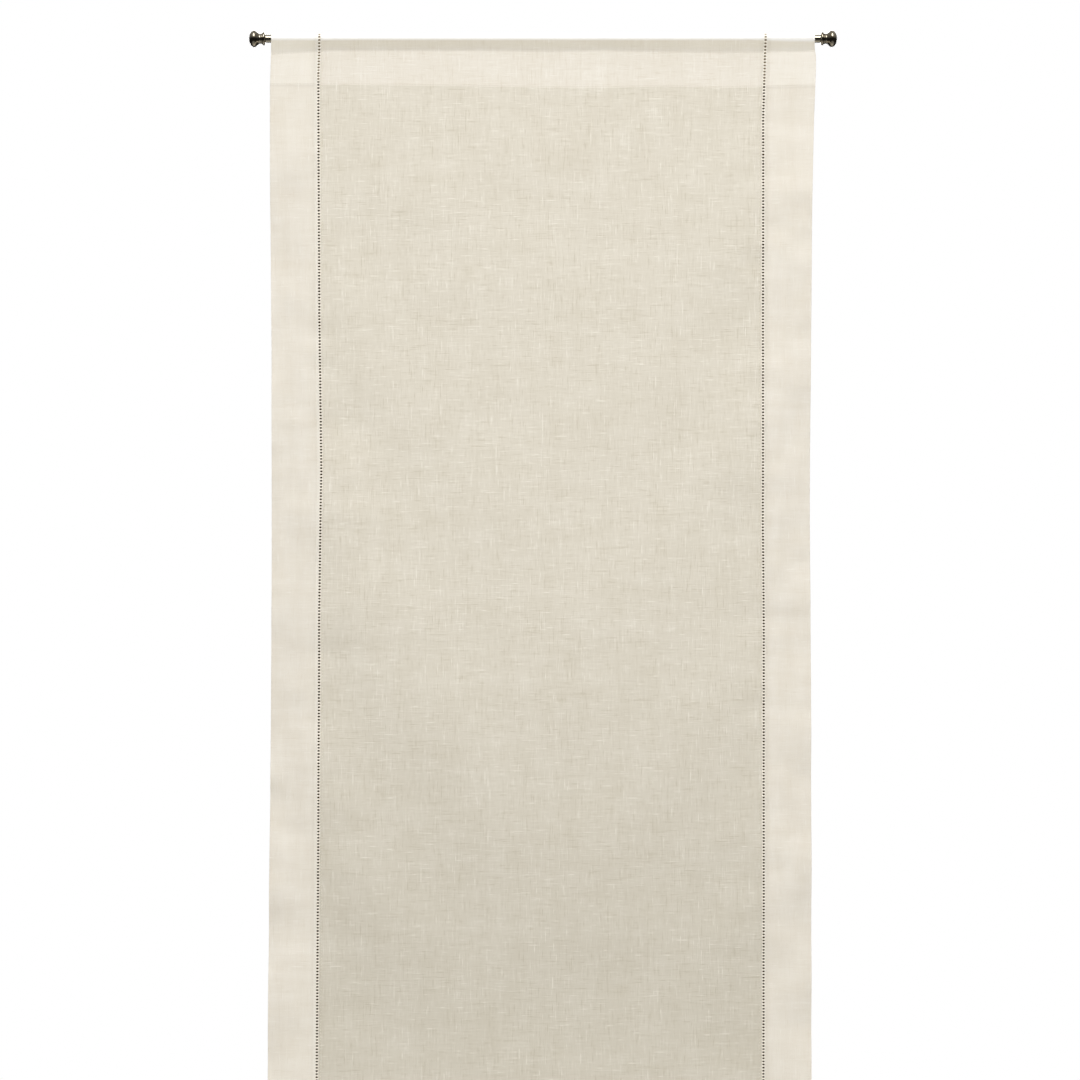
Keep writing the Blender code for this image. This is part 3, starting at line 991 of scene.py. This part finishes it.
# %% Linen group
def woven_linen():
    group, given, result = new_group(
        "woven_linen",
        {"Thread pitch": 0.0009, "Slub length": 0.026, "Cloud size": 0.09},
        ("Threads", "Hatch", "Slubs", "Clouds", "Gaps"),
    )
    pitch = given["Thread pitch"]
    cut = attribute(group, "cut")
    across, _, along = axes(group, cut)
    wander = noise(group, cut, (0.004, 0.004, 0.004), 1.0)
    slack = times(group, minus(group, wander, 0.5), 0.0007)
    turns = [per(group, plus(group, line, slack), pitch) for line in (across, along)]
    rounds = [absolute(group, sine(group, times(group, turn, math.pi))) for turn in turns]
    crossing = plus(group, whole(group, turns[0]), whole(group, turns[1]))
    over = to_and_fro(group, crossing, 1.0)
    warp = times(group, rounds[0], plus(group, 0.6, times(group, over, 0.4)))
    weft = times(group, rounds[1], minus(group, 1.0, times(group, over, 0.4)))
    put(group, result["Threads"], larger(group, warp, weft))
    covered = spread(group, larger(group, *rounds), 0.25, 0.7)
    put(group, result["Gaps"], minus(group, 1.0, covered))

    # Each yarn reads a line of noise of its own, far from its neighbours' lines
    streaks = []
    for sideways, lengthways in ((across, along), (along, across)):
        yarn = whole(group, per(group, sideways, times(group, pitch, 2.2)))
        apart = [times(group, yarn, 13.73), times(group, yarn, 3.37)]
        on_yarn = joined(group, *apart, per(group, lengthways, given["Slub length"]))
        streaks.append(noise(group, on_yarn, (1, 1, 1), 2.0, 0.6))
    uneven = []
    for streak in streaks:
        off = minus(group, streak, 0.5)
        uneven.append(times(group, off, absolute(group, off)))
    put(group, result["Hatch"], plus(group, 0.5, times(group, plus(group, *uneven), 2.4)))
    put(group, result["Slubs"], spread(group, larger(group, *streaks), 0.66, 0.80))

    # Two drifts of cloud, one drawn out down the cloth and one across it
    drifts = []
    for shares in ((0.35, 1.0, 1.7), (1.7, 1.0, 0.35)):
        cells = joined(group, *(times(group, given["Cloud size"], share) for share in shares))
        drifts.append(noise(group, cut, cells, 3.0, 0.55))
    put(group, result["Clouds"], times(group, plus(group, *drifts), 0.5))
    return group


linen_group = woven_linen()
print("linen group:", len(linen_group.nodes), "nodes")

# %% [markdown]
# ## The two linens
#
# Where the cloth is single the light passes through it, so it looks deeper and warmer. Where it is folded
# double it is paler: over the whole of each side hem, and on the centre cloth above the header's seam and
# below the bottom hem's stitches. It is palest where a side hem is folded again into the header. Each
# material finds these zones from the cloth's own length, and so it does for its painted light: a painted
# highlight on the ridge over the rod, painted shade under the rod, down the lower single cloth and in the
# gaps of the weave, a painted highlight beside each ladder and a painted shadow line at the header's seam.


# %% Linen finishes
HEM_STARTS = FOOT_AT - HEM_DEPTH
SINGLE = ((0.640, 0.585, 0.472, 1), (0.815, 0.768, 0.671, 1))  # its deepest and palest
DOUBLED = ((0.752, 0.690, 0.582, 1), (0.868, 0.822, 0.735, 1))
FOURFOLD = ((0.800, 0.742, 0.634, 1), (0.905, 0.862, 0.780, 1))
FOLD_BLUR = 0.0006  # half of the length over which one thickness turns into another
SHADE_DEEPENS = (1.0, 2.0)  # between these lengths down, painted shade makes the single cloth darker towards the bottom
LOW_SHADE = (0.875, 0.875, 0.865, 1)
# a painted highlight on the ridge over the rod
CREST_HIGHLIGHT = (0.985, 0.965, 0.925, 1)  # the ridge over the rod, where the light burns out
CREST_FADES = (0.0145, 0.0207)  # between these lengths from the ridge
SLACK_PLACES, SLACK_CREST = (0.40, 0.50), 0.0030  # it reaches further down towards the sides
SLUB = (0.93, 0.89, 0.80, 1)
# painted shade in the gaps between threads
GAP_SHADE = (0.56, 0.50, 0.39, 1)
# painted shade under the rod, in the pocket above its stitches
UNDER_ROD_SHADE = (0.80, 0.735, 0.57, 1)
# a painted shadow line along the header's seam
SEAM_SHADOW = (0.90, 0.89, 0.88, 1)
PULLED_HIGHLIGHT = (0.96, 0.92, 0.84, 1)  # a painted highlight on the small ridge that the hemstitching pulls up beside it


def linen_finish(name, hatch_gain, cloud_gain, cloud_size, zoned):
    """Linen of even thickness, or zoned into a single middle between two doubled hems."""
    made, tree, shader = new_finish(name, 0.86)
    weave = placed(tree, linen_group, thread_pitch=0.0009, slub_length=0.034, cloud_size=cloud_size)
    tone = plus(tree, 0.5, times(tree, minus(tree, weave["Hatch"], 0.5), hatch_gain))
    tone = plus(tree, tone, times(tree, minus(tree, weave["Clouds"], 0.5), cloud_gain), clamp=True)
    across, _, along = axes(tree, attribute(tree, "cut"))
    outwards, down = absolute(tree, across), absolute(tree, along)

    cloth = blended(tree, tone, *DOUBLED)
    below_seam = spread(tree, down, SEAM_AT - FOLD_BLUR, SEAM_AT + FOLD_BLUR)
    if not zoned:
        cloth = blended(tree, below_seam, blended(tree, tone, *FOURFOLD), cloth)
        # Painted shadow: a thin darker line along the header's seam, on the side hems
        from_seam = absolute(tree, minus(tree, down, SEAM_AT + 0.001))
        cloth = blended(tree, spread(tree, from_seam, 0.0, 0.006, 0.6, 0.0), cloth, SEAM_SHADOW, "MULTIPLY")
    else:
        above_hem = spread(tree, down, HEM_STARTS - FOLD_BLUR, HEM_STARTS + FOLD_BLUR, 1.0, 0.0)
        single = blended(tree, tone, *SINGLE)
        # Painted shade: the single cloth is darker towards the bottom
        single = blended(tree, spread(tree, down, *SHADE_DEEPENS), single, LOW_SHADE, "MULTIPLY")
        cloth = blended(tree, times(tree, below_seam, above_hem), cloth, single)

    # Painted shade under the rod: darker from a little below the ridge, fading towards the pocket's stitches
    shade_begins = spread(tree, down, 0.012, 0.021)
    under_rod_shade = times(tree, shade_begins, spread(tree, down, 0.026, POCKET_AT, 1.0, 0.25))
    under_rod_shade_in_pocket = times(tree, under_rod_shade, less_than(tree, down, POCKET_AT))
    cloth = blended(tree, times(tree, under_rod_shade_in_pocket, 0.35), cloth, UNDER_ROD_SHADE)
    # Painted highlight along the ridge over the rod, reaching further down towards the sides
    slack = spread(tree, outwards, *SLACK_PLACES, 0.0, SLACK_CREST)
    cloth = blended(tree, spread(tree, minus(tree, down, slack), *CREST_FADES, 0.95, 0.0), cloth, CREST_HIGHLIGHT)
    from_ladder = absolute(tree, minus(tree, outwards, LADDER_AT))
    # Painted highlight beside each ladder
    pulled_highlight = spread(tree, from_ladder, LADDER_HALF + 0.0003, LADDER_HALF + 0.0026, 0.40, 0.0)
    cloth = blended(tree, pulled_highlight, cloth, PULLED_HIGHLIGHT)
    cloth = blended(tree, times(tree, weave["Slubs"], 0.25), cloth, SLUB)
    # Painted shade in the gaps of the weave
    cloth = blended(tree, times(tree, weave["Gaps"], 0.25), cloth, GAP_SHADE)
    put(tree, shader.inputs["Base Color"], cloth)
    raised = plus(tree, weave["Threads"], times(tree, weave["Hatch"], 1.2))
    put(tree, shader.inputs["Normal"], bumped(tree, raised, 0.5, 0.00022))
    put(tree, shader.inputs["Roughness"], spread(tree, weave["Hatch"], 0.3, 0.7, 0.92, 0.78))
    shader.inputs["Sheen Weight"].default_value = 0.12
    shader.inputs["Sheen Roughness"].default_value = 0.5
    return made


linen_single = linen_finish("linen_single", 3.45, 1.0, 0.10, True)
linen_folded = linen_finish("linen_folded", 1.70, 1.8, 0.08, False)
print("linens:", linen_single.name, linen_folded.name)

# %% [markdown]
# ## Threads
#
# The hemstitching and the seams use spun thread. Seen close, it has a slanting twist and a little fuzz.
# The group draws the twist as slanting ridges, and the two thread materials differ only in colour. The dark
# matt strip behind each ladder is painted shade, so that the holes show; behind the header it is paler,
# painted as the turnback seen in shade.


# %% Thread finishes
def spun_thread():
    group, given, result = new_group("spun_thread", {"Twist pitch": 0.0006}, ("Twist", "Fuzz"))
    cut = attribute(group, "cut")
    across, _, along = axes(group, cut)
    slant = plus(group, across, times(group, along, 0.8))
    turn = times(group, per(group, slant, given["Twist pitch"]), math.pi)
    put(group, result["Twist"], absolute(group, sine(group, turn)))
    put(group, result["Fuzz"], noise(group, cut, (0.0011, 0.2, 0.0024), 2.0))
    return group


thread_group = spun_thread()


def thread_finish(name, pale, deep, roughness=0.7, sheen=0.15, in_header=None):
    """Spun thread between two colours, with another colour above the seam if in_header gives one."""
    made, tree, shader = new_finish(name, roughness)
    thread = placed(tree, thread_group, twist_pitch=0.0006)
    # Random tone from the fuzz, and painted shade: deeper colour in the twist's grooves
    fuzz_and_groove_shade = times(tree, thread["Fuzz"], plus(tree, 0.55, times(tree, thread["Twist"], 0.45)))
    spun = blended(tree, spread(tree, fuzz_and_groove_shade, 0.2, 0.6), deep, pale)
    if in_header:
        _, _, along = axes(tree, attribute(tree, "cut"))
        down = absolute(tree, along)
        spun = blended(tree, spread(tree, down, SEAM_AT - 0.012, SEAM_AT), in_header, spun)
    put(tree, shader.inputs["Base Color"], spun)
    put(tree, shader.inputs["Normal"], bumped(tree, thread["Twist"], 0.6, 0.0001))
    uneven = spread(tree, thread["Fuzz"], 0.3, 0.7, roughness - 0.08, roughness + 0.1)
    put(tree, shader.inputs["Roughness"], uneven)
    shader.inputs["Sheen Weight"].default_value = sheen
    shader.inputs["Specular IOR Level"].default_value = sheen * 3
    return made


hemstitch_thread = thread_finish("hemstitch_thread", (0.98, 0.92, 0.81, 1), (0.88, 0.81, 0.68, 1))
sewing_thread = thread_finish("sewing_thread", (0.66, 0.60, 0.48, 1), (0.46, 0.40, 0.30, 1))
# The strip's colours are painted shade: near black below the seam, and above it a brown that stands for the
# turnback in shade
shade_strip_finish = thread_finish(
    "stay_tape", (0.050, 0.026, 0.007, 1), (0.026, 0.013, 0.003, 1), 0.9, 0.0, (0.16, 0.12, 0.07, 1))
print("threads:", hemstitch_thread.name, sewing_thread.name, shade_strip_finish.name)

# %% [markdown]
# ## Metal
#
# The rod and the knobs have a polished antique finish: a dark bronze-grey that has been rubbed back to
# bright metal where hands reach it. The group gives a cloudy tone, the very fine rings that a lathe leaves,
# and small pits. The steel of the hidden stud and plug is the plain zinc-plated kind.


# %% Metal finishes
def aged_metal():
    group, given, result = new_group(
        "aged_metal", {"Ring pitch": 0.0004, "Cloud size": 0.012}, ("Tone", "Rings", "Pits"))
    where = group.nodes.new("ShaderNodeTexCoord").outputs["Object"]
    along, _, _ = axes(group, where)
    wander = times(group, noise(group, where, (0.003, 0.003, 0.003)), 0.9)
    turn = plus(group, per(group, along, given["Ring pitch"]), wander)
    put(group, result["Rings"], absolute(group, sine(group, times(group, turn, math.pi))))
    cells = joined(group, *[given["Cloud size"]] * 3)
    put(group, result["Tone"], noise(group, where, cells, 4.0, 0.6))
    put(group, result["Pits"], spread(group, noise(group, where, (0.0007, 0.0007, 0.0007), 1.0), 0.66, 0.78))
    return group


metal_group = aged_metal()


def metal_finish(name, bright, dark, rough, ring_pitch=0.0004, cloud=0.012, coat=0.0):
    """Metal between two colours. Pits are darker still, and rings are ring_pitch apart."""
    made, tree, shader = new_finish(name, rough, 1.0)
    aged = placed(tree, metal_group, ring_pitch=ring_pitch, cloud_size=cloud)
    tone = spread(tree, aged["Tone"], 0.35, 0.66)
    color = blended(tree, tone, dark, bright)
    in_pit = (*(0.3 * channel for channel in dark[:3]), 1)
    color = blended(tree, times(tree, aged["Pits"], 0.5), color, in_pit)
    put(tree, shader.inputs["Base Color"], color)
    dull = spread(tree, aged["Tone"], 0.3, 0.7, rough + 0.06, rough - 0.04)
    put(tree, shader.inputs["Roughness"], plus(tree, times(tree, aged["Pits"], 0.25), dull))
    raised = minus(tree, times(tree, aged["Rings"], 0.35), aged["Pits"])
    put(tree, shader.inputs["Normal"], bumped(tree, raised, 0.25, 0.00004))
    shader.inputs["Coat Weight"].default_value = coat
    shader.inputs["Coat Roughness"].default_value = 0.08
    return made


rod_metal = metal_finish("rod_metal", (0.40, 0.37, 0.30, 1), (0.26, 0.235, 0.175, 1), 0.13, 0.0006, 0.03)
finial_metal = metal_finish(
    "finial_metal", (0.36, 0.325, 0.255, 1), (0.21, 0.18, 0.13, 1), 0.09, 0.0004, 0.012, coat=0.1)
zinc_steel = metal_finish("zinc_steel", (0.66, 0.65, 0.62, 1), (0.52, 0.51, 0.49, 1), 0.32, 0.0003, 0.006)
print("metals:", rod_metal.name, finial_metal.name, zinc_steel.name)

# %% [markdown]
# ## What each piece is, and what it moves with
#
# Each piece gets its finish, hides the solid of the frame that it stands for, and rides on a body.
# Everything from the ridge to the foot crosses the seam where the panel swings, and is left in place on
# no body.


def dress(piece, finish, nodes, body=None):
    """Gives a piece its finish and hides its solids. With no body, it is left in place."""
    piece.data.materials.append(finish)
    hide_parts(*nodes)
    if body is None:
        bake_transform(piece)
    else:
        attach(piece, body)


dress(centre_cloth, linen_single, ["face_cloth", "header_front"])
dress(centre_turnback, linen_single, ["header_turnback"], "header")
dress(centre_bottom_hem, linen_single, ["bottom_hem_turnback"], "panel")
for word, (hem, turnback, bottom) in side_hems.items():
    dress(hem, linen_folded, [f"border_{word}_front", f"border_{word}_turnback"])
    dress(turnback, linen_folded, ["header_turnback"], "header")
    dress(bottom, linen_folded, ["bottom_hem_turnback"], "panel")
    for piece in (rungs[word], zigzags[word]):
        dress(piece, hemstitch_thread, [f"hemstitch_{word}"])
    dress(shade_strips[word][0], shade_strip_finish, [f"hemstitch_{word}"])
    dress(shade_strips[word][1], shade_strip_finish, [f"hemstitch_{word}"], "header")
dress(pocket_stitches, sewing_thread, ["pocket_stitch_row"], "header")
dress(header_stitches, sewing_thread, ["header_stitch_row"], "header")
dress(bottom_stitches, sewing_thread, ["bottom_stitch_row"], "panel")
dress(tube, rod_metal, ["rod_tube"], "rod")
for word, (collar, knob, stud, plug) in finials.items():
    dress(collar, finial_metal, [f"finial_collar_{word}"], f"{word}_collar")
    dress(knob, finial_metal, [f"finial_knob_{word}"], f"{word}_finial")
    dress(stud, zinc_steel, [f"finial_stud_{word}"], f"{word}_finial")
    dress(plug, zinc_steel, [f"rod_plug_{word}"], "rod")

# %% [markdown]
# ## The sheets of cloth
#
# Each sheet is listed with the flat size that it was cut to, and the sizes are printed.
# Together they are the one length of linen that the real panel is cut from.

CENTRE_FLAT = 2 * INNER
HEM_FLAT = 2 * HALF_WIDTH - OUTER - INNER + PAST_LADDER
SHEETS = [
    (centre_cloth, CENTRE_FLAT, FOOT_AT, [pocket_stitches, header_stitches, bottom_stitches]),
    (centre_turnback, CENTRE_FLAT, SEAM_AT, []),
    (centre_bottom_hem, CENTRE_FLAT, END_AT - FOOT_AT, []),
]
for word, (hem, turnback, bottom) in side_hems.items():
    SHEETS += [
        (hem, HEM_FLAT, FOOT_AT, [rungs[word], zigzags[word], *shade_strips[word]]),
        (turnback, HEM_FLAT, SEAM_AT, []),
        (bottom, HEM_FLAT, END_AT - FOOT_AT, []),
    ]
for piece, width, length, on_it in SHEETS:
    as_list(on_it)
    print(f"{piece.name}: {width:.3f} x {length:.3f} m")
